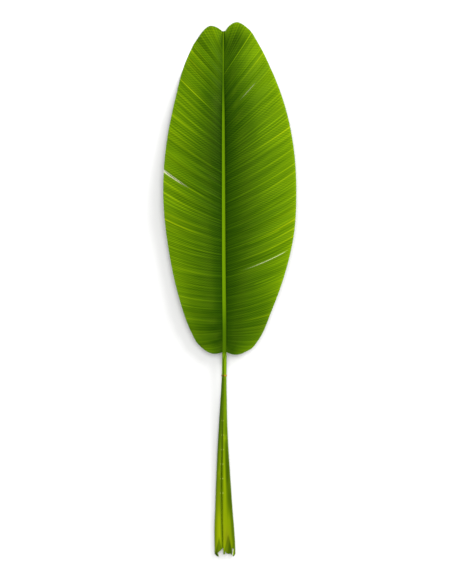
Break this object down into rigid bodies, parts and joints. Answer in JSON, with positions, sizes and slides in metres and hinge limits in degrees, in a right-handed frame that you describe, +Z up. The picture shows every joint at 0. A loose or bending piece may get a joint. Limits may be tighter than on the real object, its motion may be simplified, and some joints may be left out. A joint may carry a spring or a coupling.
{
  "type": "banana leaf",
  "caption": "Young banana leaf cut with part of its sheath, lying face up: notched blade with a margin tear, channelled midrib and petiole, sheath with a slit on top.",
  "frame": {"origin": "middle of the leaf's bounding box, on the surface that it lies on", "axes": "+Y along the leaf from the cut sheath to the tip, +X to the right half of the blade as seen from above with the tip away from the viewer, +Z up, out of the upper face"},
  "size_m": [0.3226, 1.2998, 0.0577],
  "materials": {
    "leaf": "fresh green leaf with a waxy, satin upper face and raised side veins"
  },
  "bodies": {
    "root": {"banana_leaf": "leaf"}
  },
  "joints": []
}
